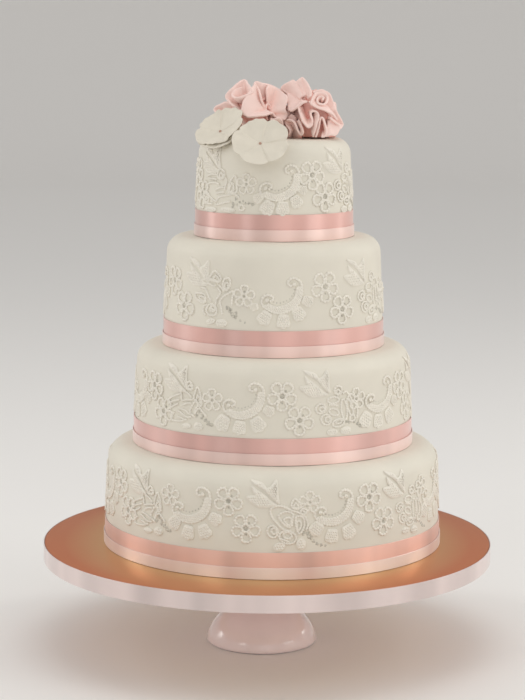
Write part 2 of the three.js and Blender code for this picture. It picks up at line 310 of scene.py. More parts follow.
class Tier:
    """One tier as the frame has it: its foot, height, axis and radius in millimetres."""

    def __init__(self, number):
        low, high = node_box(f"tier_{number}")
        band_low, band_high = node_box(f"ribbon_wide_{number}")
        self.number = number
        self.level = low.z
        self.height = high.z - low.z
        self.axis = (band_low.x + band_high.x) / 2
        self.radius = (band_high.y - band_low.y) / 2 - GAP - RIBBON_THICKNESS
        self.edge = EDGES[number - 1]

    def side(self, height):
        """Radius of the fondant at a height above the tier's foot."""
        edge_start = self.height - self.edge
        upper = self.radius - DRAFT
        if height <= RIBBON_TOP:
            return self.radius
        if height <= edge_start:
            return self.radius - DRAFT * (height - RIBBON_TOP) / (edge_start - RIBBON_TOP)
        rise = min(height - edge_start, self.edge)
        return upper - self.edge + math.sqrt(self.edge ** 2 - rise ** 2)

    def wrap(self, along, height, out):
        """A point on the tier's side, from the arc along it, the height above its foot and the relief."""
        angle = along / self.radius
        radius = self.side(height) + out
        x = self.axis + radius * math.sin(angle)
        return Vector((x, -radius * math.cos(angle), self.level + height))


def tiers():
    return [Tier(number) for number in range(1, 5)]


def smooth_path(points, step, closed=False):
    """Even steps along a smooth curve through a few points."""
    count = len(points)
    spans = count if closed else count - 1
    dense = []
    for span in range(spans):
        around = [points[(span + shift) % count] if closed else points[min(max(span + shift, 0), count - 1)]
                  for shift in (-1, 0, 1, 2)]
        before, start, end, after = (Vector(point).to_3d() for point in around)
        for part in range(12):
            t = part / 12
            dense.append(0.5 * (2 * start + (end - before) * t
                                + (2 * before - 5 * start + 4 * end - after) * t ** 2
                                + (3 * start - before - 3 * end + after) * t ** 3))
    dense.append(dense[0].copy() if closed else Vector(points[-1]).to_3d())
    total = sum((b - a).length for a, b in zip(dense, dense[1:]))
    pieces = max(4, round(total / step))
    path = [dense[0]]
    walked = 0.0
    for a, b in zip(dense, dense[1:]):
        length = (b - a).length
        while length > 0 and len(path) < pieces and total * len(path) / pieces <= walked + length:
            path.append(a.lerp(b, (total * len(path) / pieces - walked) / length))
        walked += length
    if not closed:
        path.append(dense[-1])
    return path


def oval(centre, half_width, half_height, turn=0.0, count=10):
    """A few points round an oval."""
    spin = Matrix.Rotation(math.radians(turn), 2)
    return [Vector(centre) + spin @ Vector((half_width * math.cos(math.tau * k / count),
                                           half_height * math.sin(math.tau * k / count)))
            for k in range(count)]


def shader_of(material):
    return material.node_tree.nodes["Principled BSDF"]


def plain_material(name, colour, roughness, **sockets):
    """A new material with its plain values on the shader's own sockets."""
    material = bpy.data.materials.new(name)
    material.use_nodes = True
    shader = shader_of(material)
    shader.inputs["Base Color"].default_value = (*colour, 1)
    shader.inputs["Roughness"].default_value = roughness
    for socket, value in sockets.items():
        shader.inputs[socket.replace("_", " ")].default_value = value
    material.diffuse_color = (*colour, 1)
    return material


def add_node(material, kind, **values):
    """A new node in a material, with the inputs that nothing is linked to."""
    node = material.node_tree.nodes.new(kind)
    for socket, value in values.items():
        node.inputs[socket].default_value = value
    return node


def link(material, output, entry):
    material.node_tree.links.new(output, entry)


def place_in(material, scale=None, shift=(0, 0, 0)):
    """Object coordinates, which may be scaled and shifted."""
    place = add_node(material, "ShaderNodeTexCoord").outputs["Object"]
    if not scale:
        return place
    mapping = add_node(material, "ShaderNodeMapping", Scale=scale, Location=shift)
    link(material, place, mapping.inputs["Vector"])
    return mapping.outputs["Vector"]


def texture_in(material, kind, scale, stretch=None, **values):
    """A texture on Object coordinates, which may be stretched."""
    texture = add_node(material, kind, Scale=scale, **values)
    link(material, place_in(material, stretch), texture.inputs["Vector"])
    return texture


def fade(material, output, low, high, start, end):
    """Runs the base colour from one shade to another while a node's output goes from start to end."""
    ramp = add_node(material, "ShaderNodeValToRGB")
    for stop, position, colour in zip(ramp.color_ramp.elements, (start, end), (low, high)):
        stop.position = position
        stop.color = (*colour, 1)
    link(material, output, ramp.inputs["Fac"])
    link(material, ramp.outputs["Color"], shader_of(material).inputs["Base Color"])


def fade_outward(material, middle, reach, inner, outer, start, end):
    """Runs the base colour from an inner to an outer shade, by the share of the way out from a middle."""
    scale = [1 / (MM * side) for side in reach]
    shift = [-mid / side for mid, side in zip(middle, reach)]
    length = add_node(material, "ShaderNodeVectorMath")
    length.operation = "LENGTH"
    link(material, place_in(material, scale, shift), length.inputs[0])
    fade(material, length.outputs["Value"], inner, outer, start, end)


def shade(colour, *factors):
    """A colour made darker or lighter, as a whole or channel by channel."""
    return tuple(min(1.0, value * factor) for value, factor in zip(colour, factors * (3 // len(factors))))


def mottle(material, colour, drift, scale, detail=4.0, stretch=None):
    """Lets the base colour drift in soft patches from a darker to a lighter shade."""
    patches = texture_in(material, "ShaderNodeTexNoise", scale, stretch, Detail=detail)
    fade(material, patches.outputs["Fac"], shade(colour, drift[0]), shade(colour, drift[1]), 0.35, 0.65)


def grain(material, texture, strength, depth):
    """Adds a bump that follows a texture, its depth in millimetres."""
    bump = add_node(material, "ShaderNodeBump", Strength=strength, Distance=depth * MM)
    link(material, texture.outputs["Fac"], bump.inputs["Height"])
    link(material, bump.outputs["Normal"], shader_of(material).inputs["Normal"])


def noise_grain(material, scale, detail, strength, depth, **values):
    """Adds a bump of fine noise, its depth in millimetres."""
    texture = texture_in(material, "ShaderNodeTexNoise", scale, Detail=detail, **values)
    grain(material, texture, strength, depth)


def fondant_material():
    colour = colours().fondant
    material = plain_material("rolled_fondant", colour, 0.55, Specular_IOR_Level=0.35)
    mottle(material, colour, drift=(0.97, 1.02), scale=24)
    noise_grain(material, scale=1400, detail=3.0, strength=0.12, depth=0.15)
    return material


def lace_material():
    colour = colours().lace
    material = plain_material("royal_icing", colour, 0.5, Specular_IOR_Level=0.4)
    mottle(material, colour, drift=(0.96, 1.02), scale=180)
    noise_grain(material, scale=2200, detail=2.0, strength=0.15, depth=0.12)
    return material


def silver_material():
    colour = colours().silver
    material = plain_material("silver_lustre", colour, 0.45)
    mottle(material, colour, drift=(0.8, 1.25), scale=500)
    noise_grain(material, scale=2600, detail=2.0, strength=0.3, depth=0.1)
    return material


def satin_material(name, colour):
    """Satin whose gloss runs across the ribbon, with a painted sheen: its colour lightens and darkens in
    upright streaks along it.
    """
    material = plain_material(name, colour, 0.33, IOR=1.8, Specular_IOR_Level=1.0, Anisotropic=0.85,
                              Anisotropic_Rotation=0.25, Metallic=0.2, Sheen_Weight=0.5,
                              Sheen_Roughness=0.35)
    # Painted sheen: upright streaks of lighter and darker colour that come and go along the ribbon.
    mottle(material, colour, drift=(0.85, 1.18), scale=21, detail=2.0, stretch=(1, 1, 0.06))
    threads = texture_in(material, "ShaderNodeTexWave", 900, Distortion=1.0)
    threads.bands_direction = "Z"
    grain(material, threads, strength=0.08, depth=0.05)
    tangent = add_node(material, "ShaderNodeTangent")
    tangent.direction_type = "RADIAL"
    tangent.axis = "Z"
    link(material, tangent.outputs["Tangent"], shader_of(material).inputs["Tangent"])
    return material


def foil_material():
    """Foil with a painted reflection: bright gold near the cake and coppery towards the board's rim."""
    colour = colours().foil
    material = plain_material("board_foil", colour, 0.3, Metallic=0.65, Specular_Tint=(0.9, 0.6, 0.42, 1))
    # Painted reflection: gold round the cake that turns to copper towards the rim.
    fade_outward(material, (0, 0, 0), PAINTED_REFLECTION_REACH, inner=colours().foil_painted_reflection, outer=colour,
                 start=0.76, end=1.0)
    noise_grain(material, scale=420, detail=5.0, strength=0.12, depth=0.2, Roughness=0.6)
    return material


def glaze_material():
    # Pink tint: painted reflection on white ceramic.
    colour = colours().glaze_with_painted_pink
    material = plain_material("white_glaze", colour, 0.22, Coat_Weight=0.5, Coat_Roughness=0.07)
    mottle(material, colour, drift=(0.98, 1.02), scale=30, detail=2.0)
    noise_grain(material, scale=45, detail=1.0, strength=0.15, depth=0.6)
    return material


def petal_material():
    colour = colours().petal
    material = plain_material("sugar_petal", colour, 0.6, Specular_IOR_Level=0.3)
    mottle(material, colour, drift=(0.97, 1.03), scale=90)
    noise_grain(material, scale=700, detail=4.0, strength=0.15, depth=0.2)
    return material


def heart_material():
    colour = colours().heart
    material = plain_material("blossom_heart", colour, 0.6, Specular_IOR_Level=0.3)
    mottle(material, colour, drift=(0.9, 1.1), scale=800)
    noise_grain(material, scale=2600, detail=3.0, strength=0.3, depth=0.15)
    return material


def ruffle_material(name, heart, reach):
    """Pink sugar paste with painted shade: deeper and redder towards the heart of its flower, where the
    folds lie in shade.
    """
    pink = colours().ruffle
    material = plain_material(name, pink, 0.6, Specular_IOR_Level=0.3)
    # Painted shade: the paste turns deeper and redder towards the heart, where the folds are in shade.
    fade_outward(material, heart, reach, inner=colours().ruffle_painted_shade, outer=pink, start=0.62, end=0.85)
    noise_grain(material, scale=1200, detail=3.0, strength=0.12, depth=0.15)
    return material


def mesh_of(bm, name):
    """Turns mesh code's work into a mesh."""
    mesh = bpy.data.meshes.new(name)
    bm.to_mesh(mesh)
    bm.free()
    return mesh


def add_object(name, data):
    thing = bpy.data.objects.new(name, data)
    bpy.context.scene.collection.objects.link(thing)
    return thing


def add_piece(name, bm, material, slot, node, crease=50):
    """Turns a mesh made in millimetres into a finished piece of the cake that stands for a CAD node."""
    bmesh.ops.scale(bm, vec=(MM, MM, MM), verts=bm.verts)
    mesh = mesh_of(bm, name)
    mesh.materials.append(material)
    mesh.shade_smooth()
    if crease:
        mesh.set_sharp_from_angle(angle=math.radians(crease))
    piece = add_object(name, mesh)
    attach(piece, BODY)
    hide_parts(node)
    return piece


def thicken(piece, thickness):
    """Gives a sheet its wall and rounds it."""
    wall = piece.modifiers.new("wall", "SOLIDIFY")
    wall.thickness = thickness * MM
    wall.offset = 0
    rounding = piece.modifiers.new("rounding", "SUBSURF")
    rounding.levels = 1
    rounding.render_levels = 1


def lathe(bm, outline, centre, steps, closed=False):
    """Spins an outline of radius and height, from the bottom up, round an upright axis."""
    x, y = centre
    verts = [bm.verts.new((x + radius, y, height)) for radius, height in outline]
    ends = verts[1:] + verts[:1] if closed else verts[1:]
    edges = [bm.edges.new(pair) for pair in zip(verts, ends)]
    bmesh.ops.spin(bm, geom=verts + edges, cent=(x, y, 0), axis=(0, 0, 1), angle=math.tau,
                   steps=steps, use_merge=True)
    bmesh.ops.remove_doubles(bm, verts=bm.verts, dist=WELD)
    bmesh.ops.recalc_face_normals(bm, faces=bm.faces)


def band(bm, centre, inner, thickness, bottom, top, steps):
    """A flat ribbon round an upright axis, its woven edges just rounded."""
    edge = WOVEN_EDGE
    outer = inner + thickness
    section = [(inner, bottom + edge), (inner + edge, bottom),
               (outer - edge, bottom), (outer, bottom + edge),
               (outer, top - edge), (outer - edge, top),
               (inner + edge, top), (inner, top - edge)]
    lathe(bm, section, centre, steps, closed=True)


def swell(bm, amount, scale):
    """Moves a surface in and out by soft noise."""
    bm.normal_update()
    moves = [(vert, vert.normal * amount * noise.noise(vert.co / scale)) for vert in bm.verts]
    for vert, move in moves:
        vert.co += move


def stroke(curve, points, closed=False, width=1.0, beads=True):
    """Adds one piped line to a lace curve: its width swells and narrows along the beads."""
    made = sizes()
    path = smooth_path(points, PIPE_STEP, closed)
    line = curve.splines.new("POLY")
    line.points.add(len(path) - 1)
    line.use_cyclic_u = closed
    count = max(1, round(len(path) * PIPE_STEP / (made["bead_pitch"] * width)))
    for index, (point, place) in enumerate(zip(line.points, path)):
        swelling = PIPE_SWELL * math.cos(math.tau * count * index / len(path)) if beads else 0.0
        point.co = (place.x, place.y, PIPE_RISE, 1)
        point.radius = made["line_width"] * width / 2 * (PIPE_CORE + swelling)


def lace_curve(strokes):
    """A mesh of piped lines that have settled a little, drawn flat in millimetres."""
    curve = bpy.data.curves.new("strokes", "CURVE")
    curve.dimensions = "3D"
    curve.twist_mode = "Z_UP"
    curve.bevel_depth = 1.0
    curve.bevel_resolution = 1
    curve.use_fill_caps = True
    for line in strokes:
        stroke(curve, **line)
    holder = add_object("strokes", curve)
    mesh = bpy.data.meshes.new_from_object(holder.evaluated_get(bpy.context.evaluated_depsgraph_get()))
    bpy.data.objects.remove(holder)
    bpy.data.curves.remove(curve)
    mesh.transform(Matrix.Diagonal((1, 1, PIPE_SETTLE, 1)))
    return mesh


def inside(point, outline):
    """Whether a flat point lies within a closed outline."""
    within = False
    for a, b in zip(outline, outline[1:] + outline[:1]):
        if (a.y > point.y) != (b.y > point.y):
            if point.x < (b.x - a.x) * (point.y - a.y) / (b.y - a.y) + a.x:
                within = not within
    return within


def add_dome(bm, place, radius, flatness=1.0):
    """One piped dot or pearl, half sunk into what it lies on."""
    squash = Matrix.Translation(place) @ Matrix.Diagonal((1, 1, flatness, 1))
    bmesh.ops.create_uvsphere(bm, u_segments=7, v_segments=4, radius=radius, matrix=squash)


def add_pad(bm, outline, rise):
    """A low pillow over a closed outline, cut into narrow strips so that it bends round a tier."""
    pillow = bmesh.new()
    foot = [pillow.verts.new((place.x, place.y, -PAD_SINK)) for place in outline]
    face = pillow.faces.new(foot)
    raised = bmesh.ops.extrude_face_region(pillow, geom=[face])["geom"]
    top = [item for item in raised if isinstance(item, bmesh.types.BMVert)]
    bmesh.ops.translate(pillow, vec=(0, 0, rise + PAD_SINK), verts=top)
    rim = [edge for edge in pillow.edges if all(vert in top for vert in edge.verts)]
    bmesh.ops.bevel(pillow, geom=rim, offset=PAD_ROLL, offset_type="OFFSET", segments=2, profile=0.5,
                    affect="EDGES", material=-1)
    left = min(place.x for place in outline)
    right = max(place.x for place in outline)
    for cut in range(1, int((right - left) / PAD_STRIP) + 1):
        across = (left + PAD_STRIP * cut, 0, 0)
        everything = list(pillow.verts) + list(pillow.edges) + list(pillow.faces)
        bmesh.ops.bisect_plane(pillow, geom=everything, plane_co=across, plane_no=(1, 0, 0))
    bmesh.ops.recalc_face_normals(pillow, faces=pillow.faces)
    mesh = mesh_of(pillow, "pillow")
    bm.from_mesh(mesh)
    bpy.data.meshes.remove(mesh)


def add_filled(bm, outline, rise, pitch, radius):
    """A pad that is covered with rows of piped dots."""
    add_pad(bm, outline, rise)
    left = min(place.x for place in outline)
    right = max(place.x for place in outline)
    low = min(place.y for place in outline)
    high = max(place.y for place in outline)
    rows = round((high - low) / pitch)
    columns = round((right - left) / pitch)
    for row in range(rows + 1):
        for column in range(columns + 1):
            shift = pitch / 2 if row % 2 else 0.0
            place = Vector((left + column * pitch + shift, low + row * pitch, 0))
            reach = [place + Vector((dx, dy, 0)) * radius for dx, dy in ((1, 0), (-1, 0), (0, 1), (0, -1))]
            if all(inside(point, outline) for point in reach):
                add_dome(bm, (place.x, place.y, rise), radius, 0.5)


def motif(lines=(), filled=(), pearls=()):
    """One lace motif, flat and in millimetres: its piped lines, its dotted pads and its silver pearls."""
    pitch = sizes()["dot_pitch"]
    pads = bmesh.new()
    for outline, rise, coarse in filled:
        spacing = pitch * coarse
        add_filled(pads, smooth_path(outline, closed=True, step=1.3), rise, spacing, spacing * 0.45)
    silver = bmesh.new()
    for number, (x, y, radius) in enumerate(pearls):
        for part in range(3):
            turn = 2.4 * number + 2.1 * part
            place = (x + 0.55 * radius * math.cos(turn), y + 0.55 * radius * math.sin(turn), 0)
            add_dome(silver, place, radius * (0.75 - 0.12 * part), 0.42)
    return {"lines": lace_curve(lines), "fill": mesh_of(pads, "pads"), "silver": mesh_of(silver, "silver")}


def scroll_motif():
    """A crescent with a curl at both ends, a beaded inner edge and silver dots along it."""
    outer = [(-10.8, -4.1), (-7.8, -1.8), (-9.6, 0.8), (-13.9, 1.2), (-17.1, -0.9), (-18.2, -4.5),
             (-16.9, -8), (-13.5, -10.8), (-9.1, -13), (-4, -14.1), (1.6, -13.8), (7.7, -11.3),
             (12.3, -8), (15.2, -4.1), (16.8, 0), (17.4, 4.4), (17.3, 8.6), (16, 12.4), (12.6, 15.4),
             (7.9, 15.8), (4.9, 12.8), (6.3, 9.6), (9.4, 10.2)]
    inner = [(-12.9, -6), (-9.2, -8.2), (-4.1, -9.2), (0.8, -8.3), (5.5, -6.3), (8.9, -3.8),
             (11.5, 0.2), (12.7, 4.6), (13.2, 8.6)]
    body = outer[6:17] + list(reversed(inner))
    dots = smooth_path([(x * 0.84, y * 0.84 + 2.2) for x, y in inner[1:-1]], step=3.1)
    return motif(
        lines=[{"points": outer}, {"points": inner}],
        filled=[(body, 1.0, 0.85), (oval((-13.2, -3.1), 1.8, 1.8), 1.7, 0.8),
                (oval((10.4, 10.7), 1.8, 1.8), 1.7, 0.8)],
        pearls=[(place.x, place.y, 0.7) for place in dots])


def tab_motif():
    """A soft dotted tab with a frilled lower edge."""
    outline = [(-4.2, 5.4), (0, 6), (4.2, 5.4), (5.4, 1.6), (6.2, -2.6), (5, -5.6), (2.9, -5.4),
               (1.4, -6.9), (-1.4, -6.9), (-2.9, -5.4), (-5, -5.6), (-6.2, -2.6), (-5.4, 1.6)]
    return motif(filled=[(outline, 1.1, 1.0)])


def petal_loop(turn, root, reach, half):
    """A loop like a drop, from near a flower's heart out to its edge."""
    drop = [(root, 0.34), (0.7 * root + 0.3 * reach, 0.78), (0.36 * root + 0.64 * reach, 1.0),
            (0.08 * root + 0.92 * reach, 0.7)]
    outline = [(along, half * aside) for along, aside in drop] + [(reach, 0.0)]
    outline += [(along, -half * aside) for along, aside in reversed(drop)]
    spin = Matrix.Rotation(math.radians(turn), 2)
    return [tuple(spin @ Vector(point)) for point in outline]


def flower_motif(first=-90, root=3.4, reach=12.4, half=4.3, width=1.0):
    """Five looped petals round a silver heart."""
    lines = [{"points": petal_loop(first + 72 * petal, root, reach, half), "closed": True, "width": width}
             for petal in range(5)]
    pearls = [(0, 0, 0.10 * reach)]
    for turn, out, radius in ((15, 0.15, 0.11), (140, 0.16, 0.10), (255, 0.14, 0.12), (320, 0.17, 0.09),
                              (54, 0.28, 0.09), (126, 0.31, 0.09), (-18, 0.34, 0.10), (200, 0.27, 0.09),
                              (275, 0.31, 0.08), (0, 0.47, 0.07), (144, 0.44, 0.07)):
        turn = math.radians(first + turn)
        pearls.append((out * reach * math.cos(turn), out * reach * math.sin(turn), radius * reach))
    return motif(lines=lines, pearls=pearls)


def leaf_motif():
    """A leaf with three points whose two halves lie either side of a groove."""
    upper = [(-10.6, 11.6), (-6.5, 10.8), (-3, 9.9), (0.5, 8.2), (3.1, 4.9), (6.9, 6.4), (11.6, 11.4),
             (12.7, 5.4), (12.9, -1), (13.4, -8.3), (7.2, -2.7), (2.1, 2.7), (-3.1, 6.3), (-7.5, 8.8)]
    lower = [(-9.6, 6.6), (-6.3, 4), (-2, 1.3), (2.3, -2.1), (6.6, -6.3), (11.6, -9.6), (7.5, -10.8),
             (1.1, -11.4), (-5.2, -10.6), (-9.5, -7.7), (-13, -4.8), (-13.7, -2.4), (-9.6, -1.4),
             (-6.4, -1), (-8.4, 2.1)]
    return motif(
        lines=[{"points": upper, "closed": True, "width": 0.5, "beads": False},
               {"points": lower, "closed": True, "width": 0.5, "beads": False}],
        filled=[(upper, 1.1, 1.0), (lower, 1.1, 1.0)])


def inner_loop(points):
    """A smaller loop nested at the root of a roomy petal, or none in a narrow one."""
    half = [(max(axis) - min(axis)) / 2 for axis in zip(*points)]
    if min(half) < 3.3:
        return []
    places = [Vector(point) for point in points]
    middle = sum(places, Vector((0, 0))) / len(places)
    root = min(places, key=lambda place: (place - Vector((0, -4))).length)
    pivot = root.lerp(middle, 0.4)
    return [tuple(pivot + 0.5 * (place - pivot)) for place in places]


def peony(lines, loops, leaves, sprig):
    """A large flower of fine beaded lines with dotted leaves at its foot and a silver sprig."""
    fine = 0.86
    inner = [points for points in map(inner_loop, loops) if points]
    return motif(
        lines=[{"points": points, "width": fine} for points in lines]
        + [{"points": points, "closed": True, "width": fine} for points in loops + inner],
        filled=[(leaf, 1.0, 1.0) for leaf in leaves],
        pearls=sprig)


# The large flowers of the lace, each as the piped lines, closed loops, dotted leaves and silver sprig
# that show, from a point near its middle.
PEONIES = {
    "wide_peony": {
        "lines": [
            [(1.5, -7.2), (-4.6, -5.3), (-9.4, -0.4), (-13.7, 5.1), (-14.9, 11), (-10.7, 14.2),
             (-4.7, 13.9), (1.4, 10.8), (8.8, 7.9), (13.7, 4.1), (15.8, -2.1), (14.3, -6.9)],
            [(-8.5, -12.6), (-4.5, -13.8), (-0.3, -16)]],
        "loops": [
            [(-8.3, 6.3), (-2.8, 9.4), (3.3, 7.7), (3.3, 3.2), (1.8, -3.2), (-2.8, -2), (-6.4, 2.1)],
            [(5.9, 3.7), (9.4, 5.2), (12.6, 2.5), (12.6, -3.8), (8.8, -9.4), (6.2, -4.8)],
            [(5.7, 19.6), (2.8, 16), (3.4, 12.6), (7, 11.2), (10.3, 12.5), (9.2, 16.2)],
            oval((12.8, 8.9), 2.7, 2.3, 10, 8), oval((-13.6, -6.8), 4.2, 5.0, 20),
            oval((-1.2, -12.0), 7.1, 5.2, -17)],
        "leaves": [
            oval((-8.4, -19.6), 5.4, 3.6, 16), oval((9.6, -18.2), 4.2, 4.9)],
        "sprig": [(13.6, -5.9, 2.2), (11.9, -9.4, 1.7), (15.4, -9.6, 1.5), (17.7, -13, 2.3),
                  (20.4, -16.4, 1.4), (23.4, -18.9, 1.5), (27, -20.3, 1.3), (30.4, -20.9, 1)]},
    "looped_peony": {
        "lines": [
            [(-9.3, 4.9), (-4.6, 4.6), (-0.2, 3.2)],
            [(5.3, 13.2), (8.7, 14.6), (12.4, 10.1), (14.9, 5), (18.9, 1.4), (19.7, -4.1), (18.6, -10.3)]],
        "loops": [
            oval((-16.9, 2.4), 4.6, 4.1, 12), oval((-12.4, -7.6), 4.9, 4.3, -35),
            oval((-0.8, -11.8), 5.8, 3.4, 8), oval((-4.5, 8.6), 5.4, 2.9),
            oval((-4.5, -1.8), 4.9, 2.8, -22), oval((0.9, 16.6), 3.8, 3.8),
            oval((5.7, -0.9), 2.9, 9.2, 4), oval((11.7, 0.4), 2.4, 8.0, 14),
            oval((13.6, -9.6), 2.9, 2.6, 0, 8)],
        "leaves": [
            oval((-7.4, -19.2), 5.3, 3.2), oval((6.0, -19.4), 5.6, 3.6)],
        "sprig": [(7.5, -11.9, 1.6), (10.4, -13, 1.3), (16, -12.7, 1.7), (19.4, -15.8, 1.6),
                  (22.9, -17.7, 2.1), (26.4, -18.8, 1.5)]},
    "open_peony": {
        "lines": [
            [(-21.2, 10.7), (-21.3, 15.6), (-15.4, 16.8), (-10, 16.6), (-4.2, 15.4)],
            [(-19.7, 11.6), (-15.3, 13.5), (-10.8, 13.4), (-6.9, 11.7), (-3.9, 12.7)],
            [(-20.4, 9.5), (-15.2, 9.2), (-13, 5.4), (-11, 2), (-8.9, -1)],
            [(-1.1, 13.3), (1.9, 10), (4.6, 7.8)],
            [(-2.7, 10.8), (0.4, 7.1), (-0.7, 3.9), (-3.3, 0.6), (-4.1, -4.5)],
            [(2.4, -11.9), (1.9, -8.4), (0.9, -4.6), (0.3, -0.7), (2.1, 2.1), (5.1, 4.5), (8.5, 6.4),
             (12.6, 8.2), (12.4, 4.7), (11.7, 1.1), (11.5, -4)],
            [(-12.2, -4.4), (-15.7, -5.8), (-17.4, -8.3), (-16.5, -11.4), (-14.4, -13.6)],
            [(-10.2, -6.6), (-7.3, -7.9), (-4.5, -8.9)]],
        "loops": [
            [(-5.4, 24.8), (-9.1, 21), (-11, 18.3), (-5.2, 16.6), (-1.9, 15.2), (1, 18.5), (-1.6, 21.9)],
            [(4.3, 18.1), (7.6, 19.3), (9.4, 17.8), (9.7, 14.7), (8.9, 11.5), (5.9, 8.8), (3.6, 10.5),
             (3.1, 14.3)],
            [(-26.2, 3.9), (-21.8, 4.7), (-17.1, 4.3), (-14.4, 1.4), (-14.8, -1.8), (-17.3, -3.2),
             (-24.9, -0.3)],
            [(-11.2, -4.9), (-8.4, -3.7), (-4.6, -5), (-3, -8.4), (-3.5, -11.6), (-6.2, -13.3),
             (-11, -12.9), (-13.6, -9.6)]],
        "leaves": [
            oval((-8.9, -18.6), 4.8, 2.7, 12), oval((1.7, -19.4), 5.6, 3.5)],
        "sprig": [(7.1, -6.2, 1.9), (9.7, -8, 2.2), (11.5, -11, 2), (14.4, -13.4, 2.3),
                  (15.4, -9.6, 1.3), (19, -16.5, 1.2), (23.5, -18.2, 1)]},
    "arched_peony": {
        "lines": [
            [(-25.3, 7.8), (-18.5, 9.8), (-11.5, 10.2)],
            [(-21.7, 5.9), (-16.9, 6.2), (-11.5, 6.2)],
            [(-23.9, 0.4), (-20, 2.4), (-12.9, 3.2), (-7.8, 2.3)],
            [(-12, -2.6), (-7.4, -0.7), (-2.3, 0.6)],
            [(-10.6, -5.6), (-5.6, -4.2), (-1.1, -3.8)],
            [(-1.4, 9.1), (0.3, 5.7), (-0.8, 1.3), (-1.5, -1.9)],
            [(-23.1, -5.9), (-20, -8.9), (-15.8, -10.8), (-10.5, -12.4), (-7.6, -8.9), (-2.3, -7),
             (3.2, -5.8), (7.9, -4.2), (12, -5.4), (13.9, -7.8)],
            [(-26.2, -15.7), (-20.2, -15.6), (-14.3, -15)],
            [(-10.1, -15.4), (-4.1, -13.8), (1, -12), (5.8, -10.9)]],
        "loops": [
            [(-10.8, 9.8), (-8.8, 15.1), (-4, 14.1), (-2.6, 10.5), (-5, 7.2), (-9.5, 7.6)],
            [(3.5, -3.4), (2.7, 0.7), (4.2, 5.5), (7.9, 11.2), (10.4, 7.3), (11.1, 2.2), (11.4, -1.8),
             (8.4, -3.2)],
            [(-27.1, -13.1), (-30.6, -9.6), (-27.5, -5.6), (-23.5, -6.9), (-22.8, -9.5), (-23.7, -12.1)],
            oval((16.8, -15.2), 2.3, 2.3, 0, 8)],
        "leaves": [
            oval((-16.4, -20.0), 7.6, 2.4, 5), oval((3.6, -18.2), 7.8, 2.4)],
        "sprig": [(10.8, -8.4, 1.5), (8.9, -13.1, 2), (8, -15.4, 1.2), (12, -13.2, 1.1),
                  (14.8, -10.6, 1.2), (17.6, -9.6, 1), (20.1, -11.4, 1.2), (23.1, -10.6, 1.3),
                  (26.2, -11.7, 1.5)]},
    "tall_peony": {
        "lines": [
            [(-29.4, -1), (-29.4, 2.7), (-25.5, 5.8), (-20.2, 7.9), (-15.2, 10)],
            [(-27.3, 0.2), (-24.4, 2.1), (-20, 3.4), (-15.8, 4.7)],
            [(-27.3, -4.5), (-24.7, -2.6), (-20.7, -0.6), (-17.3, 1.1)],
            [(-16.3, 16.4), (-16.8, 13.6), (-14.8, 11), (-13.6, 8.1), (-12.9, 4.4), (-8.8, 5.1),
             (-4.9, 5.8), (-1.1, 6.3), (0.4, 8.3)],
            [(-11.6, 13.5), (-8.7, 12.2), (-5.1, 10.5), (-2.3, 7.4)],
            [(-11.9, 0.2), (-8.7, 1.9), (-4.8, 2.8), (-1.9, 2.4)],
            [(-3, -5.6), (-3.4, -2.6), (-1.3, 1), (0.5, 3.7), (3.1, 5.5)],
            [(1.6, -5.8), (2.2, -2), (4, 0.6), (6.1, 1.8)],
            [(-15.5, -3), (-11.3, -3.5), (-7.7, -4.6), (-4.5, -6.4), (-1.4, -7), (1.7, -8.8)],
            [(-17.9, -5.5), (-14.5, -6), (-11.2, -7.8), (-7.9, -9.3), (-4.4, -9.5), (-1.7, -8.6)],
            [(-17.3, -10.1), (-13.5, -10.9), (-9.8, -12.3), (-6.6, -11.6)],
            [(1.9, -5.7), (3.7, -2.2), (6.6, -0.8), (8.8, -2.6), (11.3, -5.1), (13.5, -7.1)],
            [(-20.9, -7.1), (-25.2, -10.5), (-24.1, -14.1), (-15, -14.1), (-9.7, -12.9)]],
        "loops": [
            [(-9.7, 16.5), (-7.8, 19.5), (-5.1, 21.6), (-2.5, 19.4), (-1.4, 16.8), (-2.5, 14.5),
             (-8, 15.2)],
            [(0.4, 7.4), (1.2, 12.1), (3.4, 17.2), (6.1, 13.8), (7.5, 9), (8.4, 2.6), (6.1, 0.9),
             (4.2, 3.8)]],
        "leaves": [
            oval((-7.0, -17.4), 5.4, 2.5, 5), oval((5.6, -16.4), 4.8, 3.7)],
        "sprig": [(6.3, -3.3, 2.1), (3.6, -7.2, 1.6), (9.3, -6.2, 2), (8.6, -9.2, 1.6),
                  (12.7, -10.6, 1.9), (15.4, -13.2, 2.2), (18.8, -14.2, 1.5)]},
}


def stamp(bm, template, tier, along, height, turn, size):
    """Copies a flat motif on to a tier's side."""
    first = len(bm.verts)
    bm.from_mesh(template)
    bm.verts.ensure_lookup_table()
    spin = Matrix.Rotation(math.radians(turn), 2) * size
    for vert in bm.verts[first:]:
        flat = spin @ vert.co.xy
        vert.co = tier.wrap(along + flat.x, height + flat.y, vert.co.z)


def lace_places(tier):
    """Every motif on a tier, in the order it is piped: its name, arc, height, turn and size."""
    row = LACE_ROWS[tier.number - 1]
    start = math.radians(row["first"]) * tier.radius
    back = row["repeats"] // 2
    places = []
    for step in range(row["repeats"]):
        origin = start + (step - back) * row["pitch"]
        for name, along in ALONG.items():
            kind = row["peonies"][step % len(row["peonies"])] if name == "peony" else name
            place = origin + along * row["spread"] + row["nudge"].get(name, 0)
            places.append((kind, place, row[name], 0, 1))
        for x, y, turn, size in TABS[tier.number - 1]:
            places.append(("tab", origin + x, row["scroll"] + y, turn, size))
    if row["spare"]:
        origin = start + (row["repeats"] - back - SPARE_SHIFT) * row["pitch"]
        for name in ("flower_a", "flower_b", "leaf"):
            places.append((name, origin + ALONG[name] * row["spread"], row[name], 0, 1))
    return places


